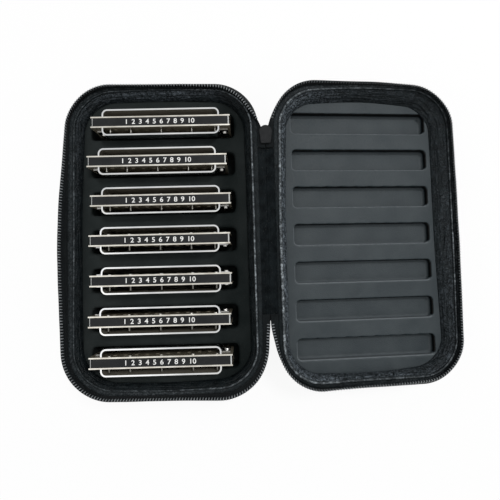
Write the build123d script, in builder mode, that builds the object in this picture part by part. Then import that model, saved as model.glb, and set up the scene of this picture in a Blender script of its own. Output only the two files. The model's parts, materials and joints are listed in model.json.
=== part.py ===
from build123d import *
import math
import os

os.makedirs("parts", exist_ok=True)

# A zipped case for seven ten-hole harmonicas, lying open and flat.  The tray is deep and holds the
# harmonicas, the lid is shallow, and a strip of fabric joins them along one long side.
# Millimetres.  The origin is the middle of the tray's base face, +X runs from the tray to the lid,
# +Y along the hinge, +Z up.

# Both halves
long_side_bow = 1.2
short_side_bow = 1.2
wall_lean = 0.15
base_round = 9.0
rim_wall = 3.3
floor_wall = 3.0
cavity_round = 5.0
push_fit = 0.3

# Binding over each rim, and the padded lining that slopes from it to the foam
binding_height = 1.2
binding_inset = 0.7
binding_width = 3.4
binding_round = 0.5
seam_gap = 0.1
lining_top_inset = 4.4
lining_foot_corner = 14.0

# Foam inserts: a sheet with its pockets cut right through, glued on a plain backing sheet
slot_count = 7
slot_pitch = 29.0
slot_depth = 15.5
slot_end_play = 3.6
slot_side_play = 0.34
slot_floor_play = 0.2
foam_drop_tray = 8.0
foam_drop_lid = 8.5
backing_thickness = 6.4
recess_end_play = 3.1
recess_width = 15.5
recess_depth = 6.0
pocket_corner = 3.0
pocket_edge_round = 0.8

# From the tray's rim to the ends of its slots, and to the middle of its last and first slots
slot_end_west = 13.15
slot_end_east = 18.35
slot_row_south = 23.8
slot_row_north = 28.2
corner_wall = 0.75

# How far the lid's rows of recesses stand from its middle
lid_rows_x = -0.6
lid_rows_y = -0.2

# Zip
zip_gap = 11.0
zip_play = 0.25
tape_thickness = 0.6
coil_thickness = 1.6
coil_width = 2.2
tape_end_gap = 0.5

# Hinge strip between the halves, and the end of the chain that holds the slider
spine_end_south = 49.8
spine_end_north = 45.7
spine_thickness = 1.6
spine_edge_gap = 0.3
tail_width = 5.6
tail_thickness = 1.4
tail_length = 10.0

# Slider and its pull
slider_length = 13.7
slider_width = 9.5
slider_nose_width = 7.2
slider_plate = 1.2
slider_channel = 2.7
slider_lip = 0.8
slider_lip_height = 0.7
slider_start_gap = 0.3
slider_travel = 5.5
slider_end_gap = 1.0
slider_mouth_depth = 2.7
slider_post_length = 2.4
slider_post_width = 3.0
pull_pin_radius = 0.6
pull_bore_play = 0.06
pull_eye_radius = 1.4
pull_eye_width = 2.2
pull_pivot_drop = 2.0
ear_thickness = 0.9
ear_gap = 0.15
pull_neck_length = 4.0
pull_tab_length = 17.0
pull_tab_width = 5.0
pull_tab_thickness = 1.4
pull_hole_radius = 1.1
pull_hole_end = 4.2

# Harmonicas
hole_count = 10
hole_pitch = 7.5
hole_width = 5.2
comb_end = 16.45
comb_thickness = 6.2
comb_depth = 27.0
comb_chamfer = 0.8
longest_chamber = 21.0
shortest_chamber = 15.0
plate_overhang = 0.7
plate_thickness = 1.0
reed_width = 2.2
reed_height = 0.3
longest_reed = 17.0
shortest_reed = 12.0
rivet_pad_length = 3.0
rivet_pad_width = 2.4
rivet_pad_height = 0.4
reed_start = 6.0
cover_end_step = 7.9
cover_back_height = 5.7
cover_shoulder_height = 3.6
cover_front_height = 1.5
cover_back_corner = 4.0
cover_shoulder_corner = 2.5
cover_sheet = 0.55
cover_front = 2.0
cover_shoulder = 9.0
cover_back = 26.4
cover_front_narrowing = 1.6
lip_width = 1.1
lip_height = 1.0
tab_end_step = 2.0
tab_depth = 13.0
cover_screw_step = 4.6
cover_screw_z = 13.5
cover_screw_radius = 0.9
cover_screw_head = 1.9
cover_screw_head_height = 0.8
screw_play = 0.1
# In hole pitches from the middle
plate_screw_places = (-5.0, -3.0, 0.0, 3.0, 5.3)
plate_screw_z = 24.0
plate_screw_radius = 0.6
plate_screw_head = 1.3
plate_screw_head_height = 0.5
plate_screw_end = 3.2
# Each harmonica lies a little to one side in its slot.
harmonica_shift = (1.2, -1.7, 0.7, -0.4, 0.2, -0.9, -0.5)

# The harmonicas' lengths follow from their holes.
comb_length = (hole_count - 1) * hole_pitch + 2 * comb_end
plate_length = comb_length + 2 * plate_overhang
cover_length = plate_length - 2 * cover_end_step
cover_screw_x = plate_length / 2 - cover_screw_step
plate_out = comb_thickness / 2 + plate_thickness

# The slots fit the harmonicas, whose covers widen upwards, and the rims go round the slots.
slot_length = plate_length + 2 * slot_end_play
recess_length = plate_length + 2 * recess_end_play
cover_rise = (slot_depth - slot_floor_play - cover_shoulder) / (cover_back - cover_shoulder)
cover_at_foam = cover_shoulder_height + cover_rise * (cover_back_height - cover_shoulder_height)
slot_width = 2 * (plate_out + cover_at_foam + slot_side_play)
rim_width = slot_length + slot_end_west + slot_end_east
rim_length = (slot_count - 1) * slot_pitch + slot_row_south + slot_row_north
half_length = rim_length / 2
tray_rows_x = (slot_end_west - slot_end_east) / 2
tray_rows_y = (slot_row_south - slot_row_north) / 2
slot_floor = foam_drop_tray + slot_depth
recess_floor = foam_drop_lid + recess_depth
tray_depth = slot_floor + backing_thickness + seam_gap + floor_wall
lid_depth = recess_floor + backing_thickness + seam_gap + floor_wall

# The rims' corners are as round as leaves a wall of foam outside the last slot's corner.
slot_wall = slot_floor * wall_lean + rim_wall + push_fit + pocket_corner + corner_wall
corner_along = slot_end_west + pocket_corner
corner_across = slot_row_south - slot_width / 2 + pocket_corner
rim_corner = (
    corner_along
    + corner_across
    - slot_wall
    + math.sqrt(2 * (corner_along - slot_wall) * (corner_across - slot_wall))
)

# The tapes leave the hinge side open for the strip, the chain's end and the slider's run.
spine_low = spine_end_south - half_length
spine_high = half_length - spine_end_north
window_low = spine_low - tape_end_gap
window_high = spine_high + slider_start_gap + slider_length + slider_travel + slider_end_gap

# The halves turn on the outer edges of their rims, a closed zip's width apart.
tray_hinge_x = rim_width / 2
lid_hinge_x = tray_hinge_x + zip_gap

# The lid leans until the rounded far edge of its base lies on the table.
far_edge = rim_width + long_side_bow - lid_depth * wall_lean
lean_angle = math.atan(wall_lean)
round_centre = far_edge - base_round * math.tan(math.pi / 4 - lean_angle / 2)
round_reach = math.hypot(round_centre, lid_depth - base_round)
round_angle = math.atan2(round_centre, lid_depth - base_round)
lid_tilt = round_angle - math.acos((tray_depth - base_round) / round_reach)

tray_plane = Plane(origin=(tray_hinge_x, 0, tray_depth))
lid_plane = Plane(
    origin=(lid_hinge_x, 0, tray_depth),
    x_dir=(math.cos(lid_tilt), 0, -math.sin(lid_tilt)),
    z_dir=(math.sin(lid_tilt), 0, math.cos(lid_tilt)),
)


def write(node, name):
    node.part.label = name
    export_step(node.part, "parts/" + name + ".step")


def inset(extents, *amounts):
    """Moves the four sides of (west, east, south, north) inwards, by one amount or by one each."""
    west, east, south, north = amounts * 4 if len(amounts) == 1 else amounts
    return extents[0] + west, extents[1] - east, extents[2] + south, extents[3] - north


def outline(extents, corner):
    """A round-cornered rectangle, straight along the hinge, which is at x = 0, and bowed elsewhere."""
    west, east, south, north = extents
    near, far = sorted((west, east), key=abs)
    middle_x = (west + east) / 2
    middle_y = (south + north) / 2
    bow = math.copysign(long_side_bow, far)
    with BuildSketch() as shape:
        with BuildLine():
            Line((near, south), (near, north))
            ThreePointArc((near, north), (middle_x, north + short_side_bow), (far, north))
            ThreePointArc((far, north), (far + bow, middle_y), (far, south))
            ThreePointArc((far, south), (middle_x, south - short_side_bow), (near, south))
        make_face()
        fillet(shape.vertices(), corner)
    return shape.sketch


def stack(plane, *levels):
    """A solid whose level outlines are (height, extents, corner), with straight walls between."""
    with BuildPart() as solid:
        for height, extents, corner in levels:
            with BuildSketch(plane.offset(height)):
                add(outline(extents, corner))
        loft(ruled=True)
    return solid.part


def along(plane):
    return Axis(plane.origin, plane.z_dir)


def rim_inset(depth):
    """How far the outer wall has come in at a depth below the rim plane."""
    return depth * wall_lean


def make_shell(plane, rim, depth):
    edge = binding_height + seam_gap
    cavity = depth - floor_wall
    with BuildPart() as shell:
        add(
            stack(
                plane,
                (-edge, inset(rim, rim_inset(edge)), rim_corner),
                (-depth, inset(rim, rim_inset(depth)), rim_corner - rim_inset(depth)),
            )
        )
        fillet(shell.faces().sort_by(along(plane))[0].edges(), base_round)
        with BuildPart(mode=Mode.PRIVATE) as hollow:
            add(
                stack(
                    plane,
                    (0, inset(rim, rim_wall), rim_corner - rim_wall),
                    (
                        -cavity,
                        inset(rim, rim_wall + rim_inset(cavity)),
                        rim_corner - rim_wall - rim_inset(cavity),
                    ),
                )
            )
            fillet(hollow.faces().sort_by(along(plane))[0].edges(), cavity_round)
        add(hollow.part, mode=Mode.SUBTRACT)
    return shell


def make_foam_sheet(plane, rim, top, bottom):
    side = rim_wall + push_fit
    with BuildPart() as sheet:
        add(
            stack(
                plane,
                (-top, inset(rim, side + rim_inset(top)), rim_corner - side - rim_inset(top)),
                (-bottom, inset(rim, side + rim_inset(bottom)), rim_corner - side - rim_inset(bottom)),
            )
        )
    return sheet.part


def make_foam_insert(plane, rim, drop, rows, length, width, pocket):
    """The upper sheet, with its row of pockets cut through it."""
    with BuildPart() as insert:
        add(make_foam_sheet(plane, rim, drop, drop + pocket))
        with BuildSketch(plane.offset(-drop)):
            with Locations(rows):
                with GridLocations(0, slot_pitch, 1, slot_count):
                    RectangleRounded(length, width, pocket_corner)
        extrude(amount=-pocket, mode=Mode.SUBTRACT)
        top = insert.faces().sort_by(along(plane))[-1]
        fillet(top.inner_wires().edges(), pocket_edge_round)
    return insert


def make_foam_base(plane, rim, depth, top):
    """The plain sheet under it, which lies on the shell's floor."""
    with BuildPart() as base:
        add(make_foam_sheet(plane, rim, top, depth - floor_wall - seam_gap))
        fillet(base.faces().sort_by(along(plane))[0].edges(), cavity_round + push_fit)
    return base


def make_lining(plane, rim, drop, foot):
    top = binding_height + seam_gap
    bottom = drop - seam_gap
    side = rim_wall + seam_gap
    with BuildPart() as lining:
        add(
            stack(
                plane,
                (-top, inset(rim, side + rim_inset(top)), rim_corner - side),
                (-bottom, inset(rim, side + rim_inset(bottom)), rim_corner - side - rim_inset(bottom)),
            )
        )
        add(
            stack(
                plane,
                (-top, inset(rim, lining_top_inset), rim_corner - lining_top_inset),
                (-bottom, inset(rim, *foot), lining_foot_corner),
            ),
            mode=Mode.SUBTRACT,
        )
    return lining


def make_binding(plane, rim):
    with BuildPart() as binding:
        with BuildSketch(plane.offset(-binding_height)):
            add(outline(inset(rim, binding_inset), rim_corner - binding_inset))
            inner = binding_inset + binding_width
            add(outline(inset(rim, inner), rim_corner - inner), mode=Mode.SUBTRACT)
        extrude(amount=binding_height)
        fillet(binding.faces().sort_by(along(plane))[-1].edges(), binding_round)
    return binding


def make_zip_band(plane, rim, tip, thickness, heights):
    """A closed band that leans from the rim to its tip, open at the hinge for the strip."""
    tip_height = zip_gap / 2 - zip_play
    outer, inner = [], []
    for height in heights:
        share = max(0.0, height - seam_gap) / (tip_height - seam_gap)
        middle = [tape_thickness / 2 * (1 - share) + share * side for side in tip]
        corner = rim_corner - sum(middle) / len(middle)
        outside = [side - thickness / 2 for side in middle]
        inside = [side + thickness / 2 for side in middle]
        outer.append((height, inset(rim, *outside), corner + thickness / 2))
        inner.append((height, inset(rim, *inside), corner - thickness / 2))
    hinge_side = min(abs(rim[0]), abs(rim[1]))
    with BuildPart() as band:
        add(stack(plane, *outer))
        add(stack(plane, *inner), mode=Mode.SUBTRACT)
        with BuildSketch(plane.offset(-zip_gap)):
            with Locations((hinge_side, (window_low + window_high) / 2)):
                Rectangle(2 * zip_gap, window_high - window_low)
        extrude(amount=2 * zip_gap, mode=Mode.SUBTRACT)
    return band


def make_tape(plane, rim, tip):
    top = zip_gap / 2 - zip_play - coil_width - seam_gap
    return make_zip_band(plane, rim, tip, tape_thickness, (-binding_height, seam_gap, top))


def make_coil(plane, rim, tip):
    top = zip_gap / 2 - zip_play
    return make_zip_band(plane, rim, tip, coil_thickness, (top - coil_width, top))


tray_rim = (-rim_width, 0, -half_length, half_length)
lid_rim = (0, rim_width, -half_length, half_length)

# Insets are listed west, east, south, north.  A negative one stands outside the rim.
tray_lining_foot = (7.0, 9.5, 6.0, 9.0)
lid_lining_foot = (8.0, 12.0, 5.5, 9.5)
tray_tape_tip = (-3.4, 0.3, -2.6, 2.4)
lid_tape_tip = (0.3, 3.6, 1.0, 0.6)

tray_rows = (-rim_width / 2 + tray_rows_x, tray_rows_y)
lid_rows = (rim_width / 2 + lid_rows_x, lid_rows_y)

write(make_shell(tray_plane, tray_rim, tray_depth), "tray_shell")
write(
    make_foam_insert(
        tray_plane, tray_rim, foam_drop_tray, tray_rows, slot_length, slot_width, slot_depth
    ),
    "tray_foam_insert",
)
write(make_foam_base(tray_plane, tray_rim, tray_depth, slot_floor), "tray_foam_base")
write(make_lining(tray_plane, tray_rim, foam_drop_tray, tray_lining_foot), "tray_side_lining")
write(make_binding(tray_plane, tray_rim), "tray_rim_binding")
write(make_tape(tray_plane, tray_rim, tray_tape_tip), "tray_zip_tape")
write(make_coil(tray_plane, tray_rim, tray_tape_tip), "tray_zip_coil")

write(make_shell(lid_plane, lid_rim, lid_depth), "lid_shell")
write(
    make_foam_insert(
        lid_plane, lid_rim, foam_drop_lid, lid_rows, recess_length, recess_width, recess_depth
    ),
    "lid_foam_insert",
)
write(make_foam_base(lid_plane, lid_rim, lid_depth, recess_floor), "lid_foam_base")
write(make_lining(lid_plane, lid_rim, foam_drop_lid, lid_lining_foot), "lid_side_lining")
write(make_binding(lid_plane, lid_rim), "lid_rim_binding")
write(make_tape(lid_plane, lid_rim, lid_tape_tip), "lid_zip_tape")
write(make_coil(lid_plane, lid_rim, lid_tape_tip), "lid_zip_coil")

# Hinge strip, flush with both rims
spine_middle = tray_hinge_x + zip_gap / 2
with BuildPart() as hinge_spine:
    with BuildSketch(Plane.XY.offset(tray_depth - spine_thickness)):
        with Locations((spine_middle, (spine_low + spine_high) / 2)):
            Rectangle(zip_gap - 2 * spine_edge_gap, spine_high - spine_low)
    extrude(amount=spine_thickness)
    fillet(hinge_spine.edges().filter_by(Axis.Z), spine_thickness)
write(hinge_spine, "hinge_spine")

# The closed end of the zip chain, sewn to the strip, which the slider straddles
chain_level = tray_depth - spine_thickness / 2
with BuildPart() as chain_end:
    with BuildSketch(Plane.XY.offset(chain_level - tail_thickness / 2)):
        with Locations((spine_middle, spine_high + tail_length / 2)):
            Rectangle(tail_width, tail_length)
    extrude(amount=tail_thickness)
write(chain_end, "zip_chain_end")

# Slider: two plates on a post, with lips that keep the tapes in, and ears with a pin below
slider_middle = spine_high + slider_start_gap + slider_length / 2
slider_plane = Plane(origin=(spine_middle, slider_middle, chain_level))
half_channel = slider_channel / 2
pivot_level = -half_channel - slider_plate - pull_pivot_drop


def slider_outline():
    """Tapered towards the strip and a half circle where it leads the way."""
    half = slider_width / 2
    nose = slider_nose_width / 2
    end = slider_length / 2
    with BuildSketch() as shape:
        with BuildLine():
            Polyline((-half, end - half), (-nose, -end), (nose, -end), (half, end - half))
            ThreePointArc((half, end - half), (0, end), (-half, end - half))
        make_face()
        fillet(shape.vertices().group_by(Axis.Y)[0], slider_plate)
    return shape.sketch


with BuildPart() as zip_slider:
    with BuildSketch(slider_plane.offset(half_channel)):
        add(slider_outline())
    extrude(amount=slider_plate)
    fillet(zip_slider.faces().sort_by(Axis.Z)[-1].edges(), slider_plate / 3)
    with BuildSketch(slider_plane.offset(-half_channel)):
        add(slider_outline())
    extrude(amount=-slider_plate)
    for level, rise in ((half_channel, -1), (-half_channel, 1)):
        with BuildSketch(slider_plane.offset(level)):
            add(slider_outline())
            offset(slider_outline(), amount=-slider_lip, kind=Kind.INTERSECTION, mode=Mode.SUBTRACT)
            with Locations((0, slider_length / 2), (0, -slider_length / 2)):
                Rectangle(
                    slider_nose_width - slider_lip, 2 * slider_mouth_depth, mode=Mode.SUBTRACT
                )
        extrude(amount=rise * slider_lip_height)
    with BuildSketch(slider_plane.offset(-half_channel)):
        with Locations((0, slider_length / 2 - slider_post_length / 2)):
            RectangleRounded(slider_post_width, slider_post_length, slider_post_length / 3)
    extrude(amount=slider_channel)
    ear_x = pull_eye_width / 2 + ear_gap
    for turn in (-1, 1):
        with BuildSketch(slider_plane.offset(-half_channel - slider_plate)):
            with Locations((turn * (ear_x + ear_thickness / 2), 0)):
                Rectangle(ear_thickness, 2 * pull_eye_radius)
        extrude(amount=-pull_pivot_drop - pull_pin_radius * 2)
    with BuildSketch(Plane(origin=slider_plane.origin, x_dir=(0, 1, 0), z_dir=(1, 0, 0))):
        with Locations((0, pivot_level)):
            Circle(pull_pin_radius)
    extrude(amount=ear_x + ear_thickness / 2, both=True)
write(zip_slider, "zip_slider")

# Pull, hanging from the slider's pin
pull_plane = Plane(
    origin=(spine_middle, slider_middle, chain_level + pivot_level), x_dir=(0, 1, 0), z_dir=(1, 0, 0)
)
pull_low = chain_level + pivot_level - pull_neck_length - pull_tab_length
with BuildPart() as zip_pull:
    with BuildSketch(pull_plane):
        Circle(pull_eye_radius)
        with Locations((0, -pull_neck_length / 2)):
            Rectangle(pull_tab_thickness, pull_neck_length)
    extrude(amount=pull_eye_width / 2, both=True)
    with BuildSketch(pull_plane):
        with Locations((0, -pull_neck_length - pull_tab_length / 2)):
            Rectangle(pull_tab_thickness, pull_tab_length)
    extrude(amount=pull_tab_width / 2, both=True)
    fillet(zip_pull.edges().filter_by(Axis.Y).group_by(Axis.Z)[0], pull_tab_width / 3)
    with BuildSketch(pull_plane):
        Circle(pull_pin_radius + pull_bore_play)
    extrude(amount=pull_tab_width, both=True, mode=Mode.SUBTRACT)
    with BuildSketch(Plane.XZ.offset(-slider_middle)):
        with Locations((spine_middle, pull_low + pull_hole_end)):
            Circle(pull_hole_radius)
    extrude(amount=pull_tab_thickness, both=True, mode=Mode.SUBTRACT)
write(zip_pull, "zip_pull")

# Harmonicas stand on their mouth edges in the tray's slots, backs up.  They are made at the origin,
# mouth edge down, and then placed.
mouth_level = tray_depth - slot_floor + slot_floor_play
plate_screw_points = [(place * hole_pitch, plate_screw_z) for place in plate_screw_places]


def chamber_depth(hole):
    return longest_chamber - hole * (longest_chamber - shortest_chamber) / (hole_count - 1)


def hole_place(hole):
    return (hole - (hole_count - 1) / 2) * hole_pitch


def make_comb():
    with BuildPart() as comb:
        with BuildSketch(Plane.XY):
            Rectangle(comb_length, comb_thickness)
        extrude(amount=comb_depth)
        chamfer(comb.faces().sort_by(Axis.Z)[-1].edges().filter_by(Axis.Y), comb_chamfer)
        for hole in range(hole_count):
            with BuildSketch(Plane.XY):
                with Locations((hole_place(hole), 0)):
                    Rectangle(hole_width, comb_thickness)
            extrude(amount=chamber_depth(hole), mode=Mode.SUBTRACT)
        with BuildSketch(Plane.XZ):
            with Locations((-cover_screw_x, cover_screw_z), (cover_screw_x, cover_screw_z)):
                Circle(cover_screw_radius + screw_play)
            with Locations(*plate_screw_points):
                Circle(plate_screw_radius + screw_play)
        extrude(amount=comb_thickness, both=True, mode=Mode.SUBTRACT)
    return comb


def make_plate(facing):
    """A reed plate with its reeds and rivet pads on the outer face."""
    inner = facing * comb_thickness / 2
    face = facing * plate_out
    with BuildPart() as plate:
        with BuildSketch(Plane.XZ.offset(-inner)):
            with Locations((0, comb_depth / 2)):
                Rectangle(plate_length, comb_depth)
            with Locations((-cover_screw_x, cover_screw_z), (cover_screw_x, cover_screw_z)):
                Circle(cover_screw_radius + screw_play, mode=Mode.SUBTRACT)
            with Locations(*plate_screw_points):
                Circle(plate_screw_radius + screw_play, mode=Mode.SUBTRACT)
        extrude(amount=-facing * plate_thickness)
        for hole in range(hole_count):
            length = longest_reed - hole * (longest_reed - shortest_reed) / (hole_count - 1)
            top = reed_start + length
            with BuildSketch(Plane.XZ.offset(-face)):
                with Locations((hole_place(hole), reed_start + length / 2)):
                    Rectangle(reed_width, length)
            extrude(amount=-facing * reed_height)
            with BuildSketch(Plane.XZ.offset(-face)):
                with Locations((hole_place(hole), top - rivet_pad_length / 2)):
                    Rectangle(rivet_pad_width, rivet_pad_length)
            extrude(amount=-facing * rivet_pad_height)
    return plate


def cover_section(length, height, corner):
    """Half a round-cornered rectangle that stands on the lower reed plate."""
    with BuildSketch() as shape:
        with Locations((0, -plate_out - height / 2)):
            Rectangle(length, height)
        fillet(shape.vertices().group_by(Axis.Y)[0], corner)
    return shape.sketch


def cover_stack(inside):
    """The cover's outer form, or its hollow where inside is the sheet's thickness."""
    front_corner = cover_front_height - 2 * cover_sheet + inside
    levels = (
        (cover_front, cover_length - cover_front_narrowing, cover_front_height, front_corner),
        (cover_shoulder, cover_length, cover_shoulder_height, cover_shoulder_corner),
        (cover_back, cover_length, cover_back_height, cover_back_corner),
    )
    with BuildPart() as solid:
        for level, length, height, corner in levels:
            with BuildSketch(Plane.XY.offset(level)):
                add(cover_section(length - 2 * inside, height - inside, corner - inside))
        loft(ruled=True)
    return solid.part


def make_lower_cover():
    with BuildPart() as cover:
        add(cover_stack(0))
        add(cover_stack(cover_sheet), mode=Mode.SUBTRACT)
        with BuildSketch(Plane.XY.offset(cover_back)):
            add(cover_section(cover_length, cover_back_height, cover_back_corner))
            add(
                cover_section(
                    cover_length - 2 * lip_width,
                    cover_back_height - lip_width,
                    cover_back_corner - lip_width,
                ),
                mode=Mode.SUBTRACT,
            )
        extrude(amount=-lip_height)
        for turn in (-1, 1):
            start = cover_length / 2 - cover_sheet
            end = plate_length / 2 - tab_end_step
            with BuildSketch(Plane.XZ.offset(plate_out)):
                with Locations((turn * (start + end) / 2, cover_screw_z)):
                    Rectangle(end - start, tab_depth)
                with Locations((turn * cover_screw_x, cover_screw_z)):
                    Circle(cover_screw_radius + screw_play, mode=Mode.SUBTRACT)
            extrude(amount=cover_sheet)
    return cover


def make_screws():
    """The two cover bolts and the reed plate screws of one harmonica."""
    tab_face = plate_out + cover_sheet
    with BuildPart() as screws:
        for turn in (-1, 1):
            with BuildSketch(Plane.XZ):
                with Locations((turn * cover_screw_x, cover_screw_z)):
                    Circle(cover_screw_radius)
            extrude(amount=tab_face, both=True)
            for facing in (-1, 1):
                with BuildSketch(Plane.XZ.offset(-facing * tab_face)):
                    with Locations((turn * cover_screw_x, cover_screw_z)):
                        Circle(cover_screw_head)
                extrude(amount=-facing * cover_screw_head_height)
        # Heads on the upper plate, threaded ends standing out of the lower one
        with BuildSketch(Plane.XZ.offset(-plate_out)):
            with Locations(*plate_screw_points):
                Circle(plate_screw_radius)
        extrude(amount=2 * plate_out + plate_screw_end)
        with BuildSketch(Plane.XZ.offset(-plate_out)):
            with Locations(*plate_screw_points):
                Circle(plate_screw_head)
        extrude(amount=-plate_screw_head_height)
    return screws


# Both covers are one shape, the upper one turned half round.
lower_cover = make_lower_cover()
with BuildPart() as upper_cover:
    add(lower_cover.part, rotation=(0, 0, 180))

harmonica = {
    "comb": make_comb(),
    "upper_reed_plate": make_plate(1),
    "lower_reed_plate": make_plate(-1),
    "upper_cover": upper_cover,
    "lower_cover": lower_cover,
    "screws": make_screws(),
}
for index, shift in enumerate(harmonica_shift):
    row_y = tray_rows_y + ((slot_count - 1) / 2 - index) * slot_pitch
    for piece, model in harmonica.items():
        with BuildPart() as placed:
            with Locations((tray_rows_x + shift, row_y, mouth_level)):
                add(model.part)
        write(placed, "harmonica_" + str(index + 1) + "_" + piece)
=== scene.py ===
import json
import math

import bmesh
import bpy
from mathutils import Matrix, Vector, noise


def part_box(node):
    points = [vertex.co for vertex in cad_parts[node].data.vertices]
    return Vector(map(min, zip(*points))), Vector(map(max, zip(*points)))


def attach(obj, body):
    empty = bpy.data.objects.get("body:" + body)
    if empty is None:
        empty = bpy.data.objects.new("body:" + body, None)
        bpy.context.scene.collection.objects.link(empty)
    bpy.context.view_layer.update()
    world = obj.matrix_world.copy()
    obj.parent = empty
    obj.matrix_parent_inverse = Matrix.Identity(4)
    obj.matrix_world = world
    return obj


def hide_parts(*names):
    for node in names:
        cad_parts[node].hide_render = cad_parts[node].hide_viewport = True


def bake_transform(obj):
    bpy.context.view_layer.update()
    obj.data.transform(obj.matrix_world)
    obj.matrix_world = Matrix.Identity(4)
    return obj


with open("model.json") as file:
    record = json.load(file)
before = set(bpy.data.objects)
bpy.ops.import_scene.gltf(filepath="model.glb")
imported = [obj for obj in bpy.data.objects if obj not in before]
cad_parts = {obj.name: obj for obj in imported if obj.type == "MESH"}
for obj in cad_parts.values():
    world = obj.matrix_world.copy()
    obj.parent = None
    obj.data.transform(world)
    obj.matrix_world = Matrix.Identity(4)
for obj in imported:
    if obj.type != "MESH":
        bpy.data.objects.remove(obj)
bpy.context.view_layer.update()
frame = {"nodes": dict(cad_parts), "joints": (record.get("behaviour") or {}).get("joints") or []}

print("frame loaded")

# where the two halves lie

joints = {joint["name"]: joint for joint in frame["joints"]}
lidLean = math.radians(-joints["lid_fold"]["range_deg"][0] - 90)
halves = {
    "tray": {"hinge": Vector(joints["spine_fold"]["pos_m"]), "side": -1, "lean": 0.0},
    "lid": {"hinge": Vector(joints["lid_fold"]["pos_m"]), "side": 1, "lean": lidLean},
}
rimSizes = {"corner": 0.0319, "bow": 0.0012, "bindingInset": 0.0007, "hingeBand": 0.001}
bindingLow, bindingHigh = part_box("tray_rim_binding")
pastBinding = rimSizes["bindingInset"] - rimSizes["bow"]
rimSizes["width"] = halves["tray"]["hinge"].x - bindingLow.x + pastBinding
rimSizes["length"] = bindingHigh.y - bindingLow.y + 2 * pastBinding
zipGap = halves["lid"]["hinge"].x - halves["tray"]["hinge"].x


def place(half, u, v, h):
    # u runs away from or towards the hinge, v along it, h up from the rim
    lean = half["lean"]
    x = half["hinge"].x + u * math.cos(lean) + h * math.sin(lean)
    z = half["hinge"].z - u * math.sin(lean) + h * math.cos(lean)
    return Vector((x, v, z))


def easeBetween(value, low, high):
    share = min(1.0, max(0.0, (value - low) / (high - low)))
    return share * share * (3 - 2 * share)


def walkRim(half, step):
    # even steps round the rim from the middle of the hinge side, northwards first
    width, length, corner = rimSizes["width"], rimSizes["length"], rimSizes["corner"]
    top = length / 2 - corner
    quarter = math.pi / 2
    runs = [
        ((0, 0), (0, top), (-1, 0)),
        ((corner, top), 2 * quarter, quarter),
        ((corner, length / 2), (width - corner, length / 2), (0, 1)),
        ((width - corner, top), quarter, 0),
        ((width, top), (width, -top), (1, 0)),
        ((width - corner, -top), 0, -quarter),
        ((width - corner, -length / 2), (corner, -length / 2), (0, -1)),
        ((corner, -top), -quarter, -2 * quarter),
        ((0, -top), (0, 0), (-1, 0)),
    ]
    stations = []
    for first, second, third in runs:
        if isinstance(third, tuple):
            steps = round((Vector(second) - Vector(first)).length / step)
            for count in range(steps):
                point = Vector(first).lerp(Vector(second), count / steps)
                stations.append((point.x, point.y, third[0], third[1]))
        else:
            steps = round(corner * quarter / step)
            for count in range(steps):
                turn = second + (third - second) * count / steps
                normal = (math.cos(turn), math.sin(turn))
                stations.append((first[0] + corner * normal[0], first[1] + corner * normal[1], *normal))
    walked = 0.0
    rim = []
    for u, v, nu, nv in stations:
        # the long outer side and both short sides bow outwards a little
        bowV = rimSizes["bow"] * (1 - ((2 * u - width) / width) ** 2) * nv * abs(nv)
        bowU = rimSizes["bow"] * (1 - (2 * v / length) ** 2) * nu * nu if nu > 0 else 0.0
        rim.append({"u": half["side"] * (u + bowU), "v": v + bowV, "nu": half["side"] * nu, "nv": nv})
    for index, station in enumerate(rim):
        before = rim[index - 1]
        if index:
            walked += math.hypot(station["u"] - before["u"], station["v"] - before["v"])
        station["walked"] = walked
    # eight marks, at the middles of the sides and corners, in the order that the rim is walked
    side, end, bend = top, width / 2 - corner, corner * quarter / 2
    lengths = (side + bend, bend + end, end + bend, bend + side) * 2
    for station in rim:
        mark, left = 0, station["walked"] * sum(lengths) / walked
        while mark < 7 and left > lengths[mark]:
            left -= lengths[mark]
            mark += 1
        station["mark"] = mark
        station["past"] = easeBetween(left, 0, lengths[mark])
    return rim


def roundRim(station, sizes):
    # sizes at the middle of the hinge side, the next corner, and so on round the rim, northwards first
    here, there = sizes[station["mark"]], sizes[(station["mark"] + 1) % 8]
    return here + (there - here) * station["past"]


def atRim(half, station, out, up):
    return place(half, station["u"] + station["nu"] * out, station["v"] + station["nv"] * out, up)


def newPiece(name, mesh, material):
    piece = bpy.data.objects.new(name, mesh)
    bpy.context.scene.collection.objects.link(piece)
    mesh.materials.clear()
    mesh.materials.append(material)
    return piece


def sweepRim(name, half, stations, profileAt, closed, material):
    # a solid whose closed section, a list of (out, up, wear and painted shading), follows the rim
    build = bmesh.new()
    wornAndPaintedShading = build.verts.layers.float.new("wear_and_painted_shading")
    rings = []
    for station in stations:
        ring = []
        for out, up, wear_and_painted_shading in profileAt(station):
            vert = build.verts.new(atRim(half, station, out, up))
            vert[wornAndPaintedShading] = wear_and_painted_shading
            ring.append(vert)
        rings.append(ring)
    pairs = list(zip(rings, rings[1:]))
    if closed:
        pairs.append((rings[-1], rings[0]))
    for here, there in pairs:
        for index in range(len(here)):
            following = (index + 1) % len(here)
            build.faces.new((here[index], here[following], there[following], there[index]))
    if not closed:
        build.faces.new(rings[0])
        build.faces.new(list(reversed(rings[-1])))
    bmesh.ops.recalc_face_normals(build, faces=build.faces)
    mesh = bpy.data.meshes.new(name)
    build.to_mesh(mesh)
    build.free()
    mesh.shade_smooth()
    return newPiece(name, mesh, material)


# materials


def put(tree, kind, inputs=None, **settings):
    made = tree.nodes.new(kind)
    for key, value in settings.items():
        setattr(made, key, value)
    for key, value in (inputs or {}).items():
        if isinstance(value, bpy.types.NodeSocket):
            tree.links.new(value, made.inputs[key])
        else:
            made.inputs[key].default_value = value
    return made


def maths(tree, operation, first, second=0.5):
    return put(tree, "ShaderNodeMath", {0: first, 1: second}, operation=operation).outputs[0]


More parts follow.
